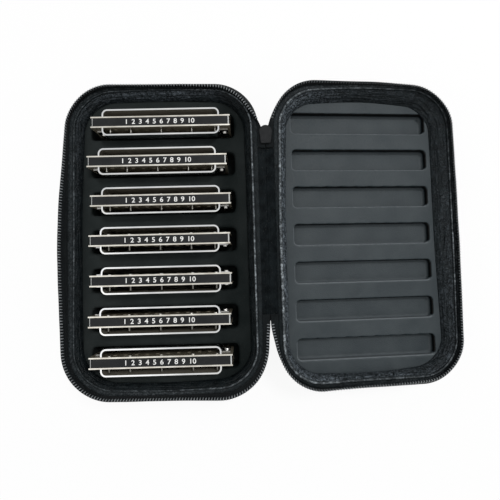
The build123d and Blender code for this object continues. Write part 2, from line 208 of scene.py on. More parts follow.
def newGroup(name, inputs, outputs):
    group = bpy.data.node_groups.new(name, "ShaderNodeTree")
    kinds = {"vector": "NodeSocketVector", "value": "NodeSocketFloat", "colour": "NodeSocketColor"}
    for socket, kind in inputs.items():
        group.interface.new_socket(socket, in_out="INPUT", socket_type=kinds[kind])
    for socket, kind in outputs.items():
        group.interface.new_socket(socket, in_out="OUTPUT", socket_type=kinds[kind])
    return group, group.nodes.new("NodeGroupInput").outputs, group.nodes.new("NodeGroupOutput").inputs


def useGroup(tree, group, inputs):
    return put(tree, "ShaderNodeGroup", inputs, node_tree=group).outputs


def mixColours(tree, share, first, second, **settings):
    inputs = {0: share, 6: first, 7: second}
    return put(tree, "ShaderNodeMix", inputs, data_type="RGBA", **settings).outputs[2]


grainSizes = {"poreScale": 2.6, "poreHeight": 0.4, "creaseHeight": 4.0, "tops": 0.35}
dustAndGlintSizes = {"scale": 1900.0, "range": (0.7, 0.78), "colour": (0.25, 0.25, 0.24, 1.0)}


def makePebbleGroup():
    # pressed leather grain: rounded pebbles with fine pores between and slow creases under them
    group, given, result = newGroup(
        "pebbleGrain",
        {"Place": "vector", "Pebbles": "value", "Creases": "value", "Crease depth": "value"},
        {"Height": "value", "Mask": "value"},
    )
    warp = put(
        group,
        "ShaderNodeTexNoise",
        {"Vector": given["Place"], "Scale": given["Creases"], "Detail": 3.0},
    )
    pebbles = put(
        group,
        "ShaderNodeTexVoronoi",
        {"Vector": given["Place"], "Scale": given["Pebbles"], "Smoothness": 0.6},
        feature="SMOOTH_F1",
    )
    poreScale = maths(group, "MULTIPLY", given["Pebbles"], grainSizes["poreScale"])
    pores = put(group, "ShaderNodeTexNoise", {"Vector": given["Place"], "Scale": poreScale, "Detail": 2.0})
    crease = maths(group, "ABSOLUTE", maths(group, "SUBTRACT", warp.outputs[0], 0.5))
    creases = maths(group, "MULTIPLY", crease, grainSizes["creaseHeight"])
    creases = maths(group, "MULTIPLY", creases, given["Crease depth"])
    softPores = maths(group, "MULTIPLY", pores.outputs[0], grainSizes["poreHeight"])
    grain = maths(group, "SUBTRACT", softPores, pebbles.outputs["Distance"])
    group.links.new(maths(group, "ADD", grain, creases), result["Height"])
    group.links.new(warp.outputs[0], result["Mask"])
    return group


def makeMottleGroup():
    # slow colour change between two shades, with a few paler specks, which are dust and, on the leathers,
    # painted glints
    group, given, result = newGroup(
        "mottledColour",
        {"Place": "vector", "Size": "value", "Dark": "colour", "Pale": "colour", "Dust": "value"},
        {"Colour": "colour", "Dust mask": "value"},
    )
    slow = put(group, "ShaderNodeTexNoise", {"Vector": given["Place"], "Scale": given["Size"], "Detail": 4.0})
    spread = put(group, "ShaderNodeMapRange", {0: slow.outputs[0], 1: 0.35, 2: 0.65})
    shades = mixColours(group, spread.outputs[0], given["Dark"], given["Pale"])
    scale = dustAndGlintSizes["scale"]
    specks = put(group, "ShaderNodeTexNoise", {"Vector": given["Place"], "Scale": scale, "Detail": 1.0})
    start, end = dustAndGlintSizes["range"]
    speckMask = put(group, "ShaderNodeMapRange", {0: specks.outputs[0], 1: start, 2: end})
    dustMask = maths(group, "MULTIPLY", speckMask.outputs[0], given["Dust"])
    group.links.new(mixColours(group, dustMask, shades, dustAndGlintSizes["colour"]), result["Colour"])
    group.links.new(dustMask, result["Dust mask"])
    return group


def makeWeaveGroup():
    # plain weave: two crossed waves of thread, and a mask that is high on the thread tops
    group, given, result = newGroup(
        "plainWeave",
        {"Place": "vector", "Threads": "value"},
        {"Height": "value", "Mask": "value"},
    )
    parts = put(group, "ShaderNodeSeparateXYZ", {0: given["Place"]}).outputs
    turns = maths(group, "MULTIPLY", given["Threads"], math.pi)
    waves = []
    for axis in ("X", "Y", "Z"):
        waves.append(maths(group, "SINE", maths(group, "MULTIPLY", parts[axis], turns), 0.0))
    crossed = maths(group, "MULTIPLY", waves[0], waves[1])
    lifted = maths(group, "MULTIPLY", waves[2], maths(group, "ADD", waves[0], waves[1]))
    height = maths(group, "ADD", crossed, maths(group, "MULTIPLY", lifted, 0.5))
    group.links.new(height, result["Height"])
    group.links.new(maths(group, "MULTIPLY", maths(group, "ADD", height, 1.0), 0.5), result["Mask"])
    return group


pebbleGrain = makePebbleGroup()
mottledColour = makeMottleGroup()
plainWeave = makeWeaveGroup()


def startMaterial(name, constants):
    material = bpy.data.materials.new(name)
    material.use_nodes = True
    tree = material.node_tree
    tree.nodes.clear()
    shader = put(tree, "ShaderNodeBsdfPrincipled", constants)
    output = put(tree, "ShaderNodeOutputMaterial")
    tree.links.new(shader.outputs[0], output.inputs[0])
    spot = put(tree, "ShaderNodeTexCoord").outputs["Object"]
    return material, tree, shader, spot


def roughen(tree, shader, driver, smooth, rough):
    spread = put(tree, "ShaderNodeMapRange", {0: driver, 1: 0.3, 2: 0.7, 3: smooth, 4: rough})
    tree.links.new(spread.outputs[0], shader.inputs["Roughness"])


def bump(tree, shader, height, depth, strength=1.0):
    raised = put(tree, "ShaderNodeBump", {"Height": height, "Distance": depth, "Strength": strength})
    tree.links.new(raised.outputs[0], shader.inputs["Normal"])


def mottle(tree, spot, look):
    shades = {"Dark": look["dark"], "Pale": look["pale"], "Dust": look.get("dustAndGlints", 0.0)}
    return useGroup(tree, mottledColour, {"Place": spot, "Size": look["mottle"], **shades})["Colour"]


def makeLeather(name, look):
    material, tree, shader, spot = startMaterial(name, {"Specular IOR Level": look["shine"]})
    grain = useGroup(
        tree,
        pebbleGrain,
        {
            "Place": spot,
            "Pebbles": look["pebbles"],
            "Creases": look["creases"],
            "Crease depth": look["creaseDepth"],
        },
    )
    # raised folds and edges are painted paler, partly as wear and partly as painted highlights, more on the
    # tops of the grain, and negative values paint shade on a few walls and slopes
    rubbedAndPaintedShading = put(tree, "ShaderNodeAttribute", attribute_name="wear_and_painted_shading").outputs["Fac"]
    low, high = look["rubbedAndGlintTops"]
    top = grainSizes["tops"]
    tops = put(tree, "ShaderNodeMapRange", {0: grain["Height"], 1: -top, 2: top, 3: low, 4: high})
    share = maths(tree, "MULTIPLY", rubbedAndPaintedShading, tops.outputs[0])
    wornAndPaintedShading = mixColours(tree, share, mottle(tree, spot, look), look["wornAndPaintedShading"], clamp_factor=False)
    tree.links.new(wornAndPaintedShading, shader.inputs["Base Color"])
    roughen(tree, shader, grain["Mask"], *look["roughness"])
    bump(tree, shader, grain["Height"], look["depth"])
    return material


def makeWoven(name, look):
    material, tree, shader, spot = startMaterial(
        name, {"Specular IOR Level": look["shine"], "Sheen Weight": look["sheen"], "Sheen Roughness": 0.5}
    )
    weave = useGroup(tree, plainWeave, {"Place": spot, "Threads": look["threads"]})
    threads = mixColours(tree, weave["Mask"], look["gap"], mottle(tree, spot, look))
    tree.links.new(threads, shader.inputs["Base Color"])
    roughen(tree, shader, weave["Mask"], *look["roughness"])
    bump(tree, shader, weave["Height"], look["depth"])
    return material


rowMiddles = [sum(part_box(f"harmonica_{number}_comb"), Vector()) / 2 for number in (1, 2)]


def pastMiddle(tree, spot):
    # how far north of the middle of its own harmonica a point is
    north = put(tree, "ShaderNodeSeparateXYZ", {0: spot}).outputs["Y"]
    half = abs(rowMiddles[0].y - rowMiddles[1].y) / 2
    shifted = maths(tree, "SUBTRACT", north, rowMiddles[0].y)
    return put(tree, "ShaderNodeMath", {0: shifted, 1: half, 2: -half}, operation="WRAP").outputs[0]


def facesComb(tree, spot, limit):
    # the inner sides of the covers, which face the comb
    facing = put(tree, "ShaderNodeTexCoord").outputs["Normal"]
    facingNorth = put(tree, "ShaderNodeSeparateXYZ", {0: facing}).outputs["Y"]
    return maths(tree, "LESS_THAN", maths(tree, "MULTIPLY", facingNorth, pastMiddle(tree, spot)), limit)


def makeMetal(name, look):
    material, tree, shader, spot = startMaterial(name, {"Metallic": 1.0})
    colour = mottle(tree, spot, look)
    if "tarnishLevels" in look:
        # below its bright upper edge the metal has gone brown
        level = put(tree, "ShaderNodeSeparateXYZ", {0: spot}).outputs["Z"]
        low, high = look["tarnishLevels"]
        mask = put(tree, "ShaderNodeMapRange", {0: level, 1: low, 2: high, 3: 1.0, 4: 0.0}).outputs[0]
    elif look.get("dullPart") == "inside":
        # the inner sides of the covers are painted dull brown, a painted reflection of the brass plates in
        # shade
        mask = facesComb(tree, spot, look["insideLimit"])
    elif look.get("dullPart") == "shanks":
        # the plate screws' ends, but not the two cover bolts further out, are painted dark as shade
        east = put(tree, "ShaderNodeSeparateXYZ", {0: spot}).outputs["X"]
        outwards = maths(tree, "ABSOLUTE", maths(tree, "SUBTRACT", east, rowMiddles[0].x))
        mask = maths(tree, "LESS_THAN", pastMiddle(tree, spot), look["shankStart"])
        mask = maths(tree, "MULTIPLY", mask, maths(tree, "LESS_THAN", outwards, look["boltPlace"]))
    else:
        mask = None
    if mask is not None:
        colour = mixColours(tree, mask, colour, look["tarnishAndPaintedShade"])
        shine = put(tree, "ShaderNodeMapRange", {0: mask, 1: 0.0, 2: 1.0, 3: 1.0, 4: look["dullMetal"]})
        tree.links.new(shine.outputs[0], shader.inputs["Metallic"])
    tree.links.new(colour, shader.inputs["Base Color"])
    smudges = put(tree, "ShaderNodeTexNoise", {"Vector": spot, "Scale": look["smudges"], "Detail": 5.0})
    roughen(tree, shader, smudges.outputs[0], *look["roughness"])
    brushed = put(tree, "ShaderNodeMapping", {"Vector": spot, "Scale": look["brush"]})
    lines = put(tree, "ShaderNodeTexNoise", {"Vector": brushed.outputs[0], "Scale": 1.0, "Detail": 2.0})
    bump(tree, shader, lines.outputs[0], look["depth"], 0.6)
    return material


def makePlastic(name, look):
    material, tree, shader, spot = startMaterial(name, {"Specular IOR Level": look["shine"]})
    colour = mottle(tree, spot, look)
    if "paintedEndHighlight" in look:
        # the sloping corners at both ends are painted pale, as a highlight
        facing = put(tree, "ShaderNodeTexCoord").outputs["Normal"]
        parts = put(tree, "ShaderNodeSeparateXYZ", {0: facing}).outputs
        slope = maths(tree, "MULTIPLY", maths(tree, "ABSOLUTE", parts["X"]), parts["Z"])
        mask = put(tree, "ShaderNodeMapRange", {0: slope, 1: 0.3, 2: 0.45})
        colour = mixColours(tree, mask.outputs[0], colour, look["paintedEndHighlight"])
    tree.links.new(colour, shader.inputs["Base Color"])
    skin = put(tree, "ShaderNodeTexNoise", {"Vector": spot, "Scale": look["texture"], "Detail": 4.0})
    roughen(tree, shader, skin.outputs[0], *look["roughness"])
    bump(tree, shader, skin.outputs[0], look["depth"])
    return material


def grey(red, green=None, blue=None):
    return (red, red if green is None else green, red if blue is None else blue, 1.0)


liningLook = {
    "dark": grey(0.0035, 0.0052, 0.0060),
    "pale": grey(0.0090, 0.0125, 0.0140),
    "wornAndPaintedShading": grey(0.100, 0.118, 0.135),
    "rubbedAndGlintTops": (0.0, 1.35),
    "mottle": 160.0,
    # on the leathers the pale specks are partly dust and partly painted glints
    "dustAndGlints": 0.25,
    "shine": 0.09,
    "roughness": (0.24, 0.45),
    "pebbles": 1150.0,
    "creases": 330.0,
    "creaseDepth": 0.9,
    "depth": 0.0004,
}
bindingLook = {
    **liningLook,
    "pale": grey(0.0080, 0.0115, 0.0130),
    # the pale colour of the painted glints on the piping
    "wornAndPaintedShading": grey(0.25, 0.28, 0.30),
    "rubbedAndGlintTops": (0.2, 1.2),
    "shine": 0.06,
    "depth": 0.0003,
}
spineLook = {
    **liningLook,
    "dark": grey(0.0015, 0.0026, 0.0032),
    "pale": grey(0.0060, 0.0085, 0.0098),
    "shine": 0.04,
    "roughness": (0.45, 0.65),
    "depth": 0.0002,
}
trayFoamLook = {
    **liningLook,
    "wornAndPaintedShading": grey(0.105, 0.120, 0.120),
    "dark": grey(0.0095, 0.0125, 0.0125),
    "pale": grey(0.0155, 0.0190, 0.0190),
    "rubbedAndGlintTops": (1.0, 1.0),
    "mottle": 60.0,
    "dustAndGlints": 0.12,
    "shine": 0.05,
    "roughness": (0.5, 0.7),
    "pebbles": 1500.0,
    "creases": 120.0,
    "creaseDepth": 0.5,
    "depth": 0.0001,
}
lidFoamLook = {
    **trayFoamLook,
    "dark": grey(0.036, 0.045, 0.050),
    "pale": grey(0.047, 0.057, 0.062),
    # the colour of the painted highlight on the pocket lips
    "wornAndPaintedShading": grey(0.12, 0.135, 0.145),
    "shine": 0.15,
    "roughness": (0.4, 0.55),
    "depth": 0.00015,
}
lining = makeLeather("crinkledLining", liningLook)
binding = makeLeather("rimBinding", bindingLook)
spineLeather = makeLeather("hingeLeather", spineLook)
trayFoamSkin = makeLeather("blackFoamSkin", trayFoamLook)
lidFoamSkin = makeLeather("slateFoamSkin", lidFoamLook)
shellCloth = makeWoven(
    "shellCloth",
    {
        "dark": grey(0.012, 0.012, 0.013),
        "pale": grey(0.022, 0.022, 0.024),
        "gap": grey(0.003, 0.003, 0.003),
        "mottle": 90.0,
        "dustAndGlints": 0.3,
        "threads": 1100.0,
        "shine": 0.1,
        "sheen": 0.08,
        "roughness": (0.65, 0.5),
        "depth": 0.00012,
    },
)
zipCloth = makeWoven(
    "zipTapeWeave",
    {
        "dark": grey(0.0065, 0.0085, 0.0095),
        "pale": grey(0.012, 0.0150, 0.0165),
        "gap": grey(0.003, 0.004, 0.0045),
        "mottle": 120.0,
        "dustAndGlints": 0.2,
        "threads": 1900.0,
        "shine": 0.06,
        "sheen": 0.05,
        "roughness": (0.8, 0.65),
        "depth": 0.0001,
    },
)
# the black nylon coil is coloured light grey, as painted glints on its turns
coilNylonPaintedGlints = makePlastic(
    "coilNylonPaintedGlints",
    {
        "dark": grey(0.140, 0.152, 0.160),
        "pale": grey(0.240, 0.258, 0.270),
        "mottle": 200.0,
        "dustAndGlints": 0.15,
        "texture": 900.0,
        "shine": 0.6,
        "roughness": (0.24, 0.38),
        "depth": 0.00002,
    },
)
combPlastic = makePlastic(
    "combPlastic",
    {
        "dark": grey(0.014, 0.015, 0.016),
        "pale": grey(0.020, 0.021, 0.022),
        "paintedEndHighlight": grey(0.62, 0.63, 0.62),
        "mottle": 70.0,
        "dustAndGlints": 0.2,
        "texture": 1400.0,
        "shine": 0.1,
        "roughness": (0.4, 0.55),
        "depth": 0.00003,
    },
)
sliderPaint = makePlastic(
    "sliderPaint",
    {
        "dark": grey(0.013, 0.014, 0.015),
        "pale": grey(0.019, 0.020, 0.021),
        "mottle": 200.0,
        "dustAndGlints": 0.3,
        "texture": 1800.0,
        "shine": 0.08,
        "roughness": (0.5, 0.65),
        "depth": 0.00003,
    },
)
numberInk = makePlastic(
    "numberInk",
    {
        "dark": grey(0.78, 0.78, 0.76),
        "pale": grey(0.9, 0.9, 0.88),
        "mottle": 500.0,
        "dustAndGlints": 0.0,
        "texture": 2500.0,
        "shine": 0.2,
        "roughness": (0.45, 0.6),
        "depth": 0.00001,
    },
)
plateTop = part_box("harmonica_1_upper_reed_plate")[1].z
plateBrass = makeMetal(
    "reedPlateBrass",
    {
        "tarnishAndPaintedShade": grey(0.18, 0.16, 0.12),
        "dullMetal": 0.35,
        "tarnishLevels": (plateTop - 0.0012, plateTop - 0.0004),
        "dark": grey(0.54, 0.51, 0.45),
        "pale": grey(0.68, 0.66, 0.60),
        "mottle": 130.0,
        "smudges": 90.0,
        "roughness": (0.22, 0.42),
        "brush": (40, 2600, 2600),
        "depth": 0.00001,
    },
)
coverChrome = makeMetal(
    "coverChrome",
    {
        # the covers' inner sides are painted dull brown, as painted reflection and shade
        "dullPart": "inside",
        "insideLimit": -0.0008,
        "tarnishAndPaintedShade": grey(0.20, 0.185, 0.155),
        "dullMetal": 0.3,
        "dark": grey(0.64, 0.65, 0.66),
        "pale": grey(0.76, 0.76, 0.75),
        "mottle": 50.0,
        "smudges": 60.0,
        "roughness": (0.1, 0.26),
        "brush": (300, 300, 300),
        "depth": 0.00001,
    },
)
screwNickel = makeMetal(
    "screwNickel",
    {
        # the screws' shanks are painted dark, as shade
        "dullPart": "shanks",
        "shankStart": -0.0043,
        "boltPlace": 0.0425,
        "tarnishAndPaintedShade": grey(0.15, 0.145, 0.13),
        "dullMetal": 0.6,
        "dark": grey(0.6, 0.59, 0.56),
        "pale": grey(0.78, 0.76, 0.72),
        "mottle": 300.0,
        "smudges": 300.0,
        "roughness": (0.2, 0.35),
        "brush": (1500, 1500, 1500),
        "depth": 0.00001,
    },
)

# CAD pieces that keep their shape
nodeFinish = {
    "tray_shell": shellCloth,
    "lid_shell": shellCloth,
    "zip_chain_end": zipCloth,
    "zip_slider": sliderPaint,
    "zip_pull": sliderPaint,
}
harmonicaFinish = {
    "comb": combPlastic,
    "upper_reed_plate": plateBrass,
    "lower_reed_plate": plateBrass,
    "upper_cover": coverChrome,
    "lower_cover": coverChrome,
    "screws": screwNickel,
}
harmonicaCount = sum(name.endswith("_comb") for name in frame["nodes"])
for number in range(1, harmonicaCount + 1):
    for part, finish in harmonicaFinish.items():
        nodeFinish[f"harmonica_{number}_{part}"] = finish
for name, finish in nodeFinish.items():
    slots = frame["nodes"][name].data.materials
    slots.clear()
    slots.append(finish)
print("materials made")

# foam inserts

foamSizes = {
    "tray": {"skin": trayFoamSkin, "waves": 0.00025, "grid": 0.0011, "softening": 2},
    "lid": {"skin": lidFoamSkin, "waves": 0.0002, "grid": 0.0008, "softening": 1},
    "waveLength": 0.028,
    "backingSink": 0.0004,
    "backingTop": 0.0001,
    "weld": 0.00001,
    # the lid's pockets get a painted highlight on the lips nearest the hinge and painted shade on the walls
    # across from them
    "lipDepth": 0.0010,
    "lipPaintedHighlight": 1.0,
    "wallPaintedLight": 0.4,
    "wallPaintedShade": 0.7,
    "darkDepth": 0.0030,
    "darkFade": 0.001,
    "paleUpright": (0.75, 0.995),
    "darkUpright": (0.85, 0.999),
    "deepLoss": 1.2,
    "paleTurn": 2,
    "darkTurn": 5,
    "lipFacing": (0.6, 0.8),
    "middlePaintedShading": (-0.055, 0.06),
    "middleStart": (0.022, 0.045),
}


def paintPocketLightAndShade(build, half, upwards):
    # painted highlight on the lips and walls nearest the hinge, painted shade on the walls across from them
    build.normal_update()
    wornAndPaintedShading = build.verts.layers.float.new("wear_and_painted_shading")
    top = max((vert.co - half["hinge"]).dot(upwards) for vert in build.verts)
    lipDepth, lipFacing = foamSizes["lipDepth"], foamSizes["lipFacing"]
    for vert in build.verts:
        depth = top - (vert.co - half["hinge"]).dot(upwards)
        upright = vert.normal.dot(upwards)
        facing = vert.normal.x * lipFacing[0] + vert.normal.y * lipFacing[1]
        if facing > 0:
            lip = foamSizes["lipPaintedHighlight"] * (1 - easeBetween(depth, lipDepth, 2 * lipDepth))
            rubbedAndPaintedShading = (1 - easeBetween(upright, *foamSizes["paleUpright"])) * (foamSizes["wallPaintedLight"] + lip)
            vert[wornAndPaintedShading] = rubbedAndPaintedShading * min(1.0, foamSizes["paleTurn"] * facing)
        else:
            deep = easeBetween(depth, foamSizes["darkDepth"], foamSizes["darkDepth"] + foamSizes["darkFade"])
            steep = 1 - easeBetween(upright, *foamSizes["darkUpright"])
            rubbedAndPaintedShading = steep * foamSizes["wallPaintedShade"] * (1 - foamSizes["deepLoss"] * deep)
            vert[wornAndPaintedShading] = rubbedAndPaintedShading * max(-1.0, foamSizes["darkTurn"] * facing)


def paintTrayFoamShading(build, half):
    # painted shading: the tray's foam is painted darker on its hinge side, as shade from the rim, and paler
    # in the middle, as painted light between the harmonicas
    wornAndPaintedShading = build.verts.layers.float.new("wear_and_painted_shading")
    low, high = foamSizes["middlePaintedShading"]
    for vert in build.verts:
        inside = (vert.co.x - half["hinge"].x) * half["side"]
        vert[wornAndPaintedShading] = low + (high - low) * easeBetween(inside, *foamSizes["middleStart"])


def makeFoam(name):
    look = foamSizes[name]
    node = name + "_foam_insert"
    build = bmesh.new()
    build.from_mesh(frame["nodes"][node].data)
    # the backing sheet's copy reaches a little into the slotted sheet, so that the two join
    before = len(build.verts)
    build.from_mesh(frame["nodes"][name + "_foam_base"].data)
    build.verts.ensure_lookup_table()
    half = halves[name]
    upwards = Vector((math.sin(half["lean"]), 0, math.cos(half["lean"])))
    backing = build.verts[before:]
    top = max((vert.co - half["hinge"]).dot(upwards) for vert in backing)
    for vert in backing:
        if (vert.co - half["hinge"]).dot(upwards) > top - foamSizes["backingTop"]:
            vert.co += upwards * foamSizes["backingSink"]
    bmesh.ops.remove_doubles(build, verts=build.verts, dist=foamSizes["weld"])
    mesh = bpy.data.meshes.new(node + "_soft")
    build.to_mesh(mesh)
    build.free()
    rough = newPiece(node + "_rough", mesh, look["skin"])
    remesh = rough.modifiers.new("even grid", "REMESH")
    remesh.mode = "VOXEL"
    remesh.voxel_size = look["grid"]
    even = bpy.data.meshes.new_from_object(rough.evaluated_get(bpy.context.evaluated_depsgraph_get()))
    bpy.data.objects.remove(rough)
    build = bmesh.new()
    build.from_mesh(even)
    for _ in range(look["softening"]):
        bmesh.ops.smooth_vert(
            build, verts=build.verts, factor=0.5, use_axis_x=True, use_axis_y=True, use_axis_z=True
        )
    if name == "lid":
        paintPocketLightAndShade(build, half, upwards)
    else:
        paintTrayFoamShading(build, half)
    # the moulded skin is never quite flat
    for vert in build.verts:
        swell = noise.noise(vert.co / foamSizes["waveLength"])
        vert.co.z += look["waves"] * swell
    build.to_mesh(even)
    build.free()
    even.shade_smooth()
    even.name = node + "_soft"
    foam = newPiece(node + "_soft", even, look["skin"])
    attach(foam, name)
    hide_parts(node, name + "_foam_base")


for name in halves:
    makeFoam(name)
print("foam inserts made")

# lining, binding

stepAlongRim = 0.0009
rims = {name: walkRim(half, stepAlongRim) for name, half in halves.items()}

# eight sizes each, in the order that the rim is walked from the middle of the hinge side
pipingInset = {
    "tray": (0.0047, 0.0052, 0.0042, 0.0048, 0.0055, 0.0046, 0.0038, 0.0043),
    "lid": (0.0038, 0.0054, 0.0032, 0.0038, 0.0048, 0.0055, 0.0057, 0.0042),
}
# how pale each side of the lining is painted: partly wear, partly painted light, and the negative values are
# painted shade
liningSizes = {
    "tray": {
        "foot": (0.0095, 0.0105, 0.0090, 0.0092, 0.0075, 0.0078, 0.0068, 0.0086),
        "rubbedAndPaintedShading": (-0.03, -0.02, 0.50, 0.22, 0.04, 0.03, 0.04, -0.02),
        "drop": 0.0080,
        "seed": 3.0,
    },
    "lid": {
        "foot": (0.0095, 0.0120, 0.0100, 0.0140, 0.0142, 0.0115, 0.0082, 0.0092),
        "rubbedAndPaintedShading": (0.95, 0.75, 0.14, 0.10, 0.16, 0.26, 0.6, 0.9),
        "drop": 0.0085,
        "seed": 11.0,
    },
    "pastPiping": 0.0003,
    "topDrop": 0.0005,
    "bulge": 0.0007,
    "rows": 30,
    "skin": 0.0007,
    "wrinkleHeight": 0.0004,
    "wrinkleAcross": 0.0015,
    "wrinkleAlong": 0.019,
    "ridgeSharpness": 2.5,
    "ridgeTops": (0.4, 1.0),
    "ridgeRubAndHighlight": (0.5, 0.7),
    "footLift": 0.0001,
}


def makeLining(name):
    half, sizes = halves[name], liningSizes[name]
    seed = sizes["seed"]

    def profile(station):
        foot = roundRim(station, sizes["foot"])
        rubbedAndPaintedShading = roundRim(station, sizes["rubbedAndPaintedShading"])
        top = roundRim(station, pipingInset[name]) + liningSizes["pastPiping"]
        slope = math.hypot(foot - top, sizes["drop"])
        front, back = [], []
        for row in range(liningSizes["rows"]):
            share = row / (liningSizes["rows"] - 1)
            swell = liningSizes["bulge"] * math.sin(math.pi * share)
            across = share * slope / liningSizes["wrinkleAcross"]
            along = Vector((station["u"], station["v"], 0)) / liningSizes["wrinkleAlong"]
            fold = noise.noise(Vector((along.x + seed, along.y, across)))
            ridge = 1 - liningSizes["ridgeSharpness"] * abs(fold)
            swell += liningSizes["wrinkleHeight"] * ridge * math.sin(math.pi * share) ** 0.5
            inset = top + (foot - top) * share + swell
            fall = sizes["drop"] - liningSizes["topDrop"] - liningSizes["footLift"]
            drop = liningSizes["topDrop"] + fall * share
            # the wrinkle crests and the top rows are painted paler, partly as wear and partly as painted
            # highlights
            tops = easeBetween(ridge, *liningSizes["ridgeTops"])
            least, more = liningSizes["ridgeRubAndHighlight"]
            wornAndPaintedShading = rubbedAndPaintedShading * (least + more * tops) * (1 + (1 - share) ** 4)
            front.append((-inset, -drop + swell * 0.5, wornAndPaintedShading))
        for share in (1.0, 0.5, 0.0):
            inset = top + (foot - top) * share - liningSizes["skin"]
            drop = liningSizes["topDrop"] + (sizes["drop"] - liningSizes["topDrop"]) * share
            back.append((-inset, -drop - liningSizes["skin"] * (1 - share), 0.0))
        return front + back

    piece = sweepRim(name + "_lining", half, rims[name], profile, True, lining)
    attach(piece, name)
    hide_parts(name + "_side_lining")


bindingSizes = {
    # the flat band, as (share of the way to the piping, height), then the piping and the underside
    "band": ((0.12, -0.0013), (0.05, -0.0008), (0.08, -0.0002), (0.2, 0.0002), (0.4, 0.0003), (0.62, 0.0002)),
    "groove": (-0.0001, 0.0),
    # the piping is plumper where the lid is handled most
    "pipingRadius": {
        "tray": (0.0008, 0.0008, 0.0007, 0.0007, 0.0007, 0.0007, 0.0007, 0.0008),
        "lid": (0.0012, 0.0010, 0.0007, 0.0007, 0.0007, 0.0008, 0.0010, 0.0011),
    },
    "pipingHeight": 0.0002,
    "pipingCrown": 0.0007,
    "pipingPoints": 7,
    "pipingArc": (1.1, 1.2),
    "under": -0.0013,
    "puckerHeight": 0.00013,
    "puckerLength": 0.004,
    "puckerShift": 0.6,
    # how pale the flat band is painted, as wear and painted light, and how strong the painted glints on the
    # piping are
    "tray": {
        "band": (0.03, 0.02, 0.06, 0.08, 0.08, 0.10, 0.19, 0.04),
        "piping": (1.3, 0.9, 0.25, 0.3, 0.5, 0.3, 0.4, 0.8),
    },
    "lid": {
        "band": (0.0, 0.06, 0.30, 0.12, 0.14, 0.10, 0.06, 0.01),
        "piping": (1.5, 1.2, 0.7, 0.6, 1.5, 0.6, 0.9, 1.3),
    },
    "glint": (0.35, 0.65),
    "glintLength": 0.0035,
    "glintRange": (-0.3, 0.5),
}


def makeBinding(name):
    def profile(station):
        crest = roundRim(station, pipingInset[name])
        spot = Vector((station["u"], station["v"], 0)) / bindingSizes["puckerLength"]
        radius = roundRim(station, bindingSizes["pipingRadius"][name])
        # painted glints along the piping's crest
        spark = noise.noise(Vector((station["u"], station["v"], 8.0)) / bindingSizes["glintLength"])
        least, more = bindingSizes["glint"]
        glint = least + more * easeBetween(spark, *bindingSizes["glintRange"])
        glint *= roundRim(station, bindingSizes[name]["piping"])
        rubbedAndPaintedShading = roundRim(station, bindingSizes[name]["band"])
        section = [(share * crest, height, rubbedAndPaintedShading) for share, height in bindingSizes["band"]]
        section.append((crest - radius + bindingSizes["groove"][0], bindingSizes["groove"][1], 0.0))
        start, sweep = bindingSizes["pipingArc"]
        for index in range(bindingSizes["pipingPoints"]):
            turn = math.pi * (start - sweep * index / (bindingSizes["pipingPoints"] - 1))
            height = bindingSizes["pipingHeight"] + bindingSizes["pipingCrown"] * math.sin(turn)
            section.append((crest + radius * math.cos(turn), height, glint * max(0.0, math.sin(turn)) ** 2))
        section += [(share * crest, bindingSizes["under"], 0.0) for share in (1.0, 0.5)]
        ring = []
        for index, (inset, height, wear_and_painted_shading) in enumerate(section):
            pucker = noise.noise(spot + Vector((0, 0, index * bindingSizes["puckerShift"])))
            ring.append((-inset, height + bindingSizes["puckerHeight"] * pucker, wear_and_painted_shading))
        return ring

    piece = sweepRim(name + "_binding", halves[name], rims[name], profile, True, binding)
    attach(piece, name)
    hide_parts(name + "_rim_binding")


for name in halves:
    makeLining(name)
    makeBinding(name)
print("lining and binding made")

# zip tapes

zipSizes = {
    # how far each tape's tip stands outside the rim, in the order that the rim is walked,
    # and how much of the way to the tip the cloth reaches
    "tray": {
        "lean": (-0.0003, -0.0056, -0.0036, -0.0016, 0.0041, 0.0018, 0.0015, 0.0036),
        "cloth": (0.95, 0.86, 0.84, 0.90, 0.98, 0.96, 0.95, 0.93),
    },
    "lid": {
        "lean": (-0.0003, 0.0002, -0.0010, -0.0042, -0.0042, -0.0050, -0.0032, 0.0002),
        "cloth": (0.95, 0.95, 0.98, 0.97, 0.97, 0.96, 0.95, 0.93),
    },
    "rise": 0.00525,
    "thickness": 0.0006,
    "rows": 6,
    "waver": 0.0003,
    "waverLength": 0.02,
    "coilWidth": 0.0026,
    "coilHeight": 0.0018,
    "thread": 0.00035,
    "pitch": 0.00205,
    "slant": 0.12,
    # the tapes lie down towards each other into the slider, and again below the hinge strip
    "northTurn": (0.0985, 0.0700),
    "southTurn": (-0.096, -0.064),
    "clothEnds": (-0.0585, 0.0640),
    # the coils end north of where the slider can reach
    "coilEnds": (-0.0650, 0.0862),
    "chainDrop": -0.0008,
    "turnReach": 0.75,
    "foot": -0.0002,
    "knee": (0.3, 0.55),
    "tipGap": 0.0002,
    "sewnEdge": (-0.0006, 0.0001),
    "sewnDepth": -0.0011,
    "bendStart": 0.0002,
    "bendLength": 0.0045,
}


def zipRun(name, ends):
    run = []
    for station in rims[name]:
        onHingeSide = abs(station["u"]) < rimSizes["hingeBand"]
        if not (onHingeSide and ends[0] < station["v"] < ends[1]):
            run.append(station)
    # the walk starts on the hinge side, so what lies south of the gap is joined to its end
    start = next(index for index, station in enumerate(run) if station["v"] > 0)
    return run[start:] + run[:start]


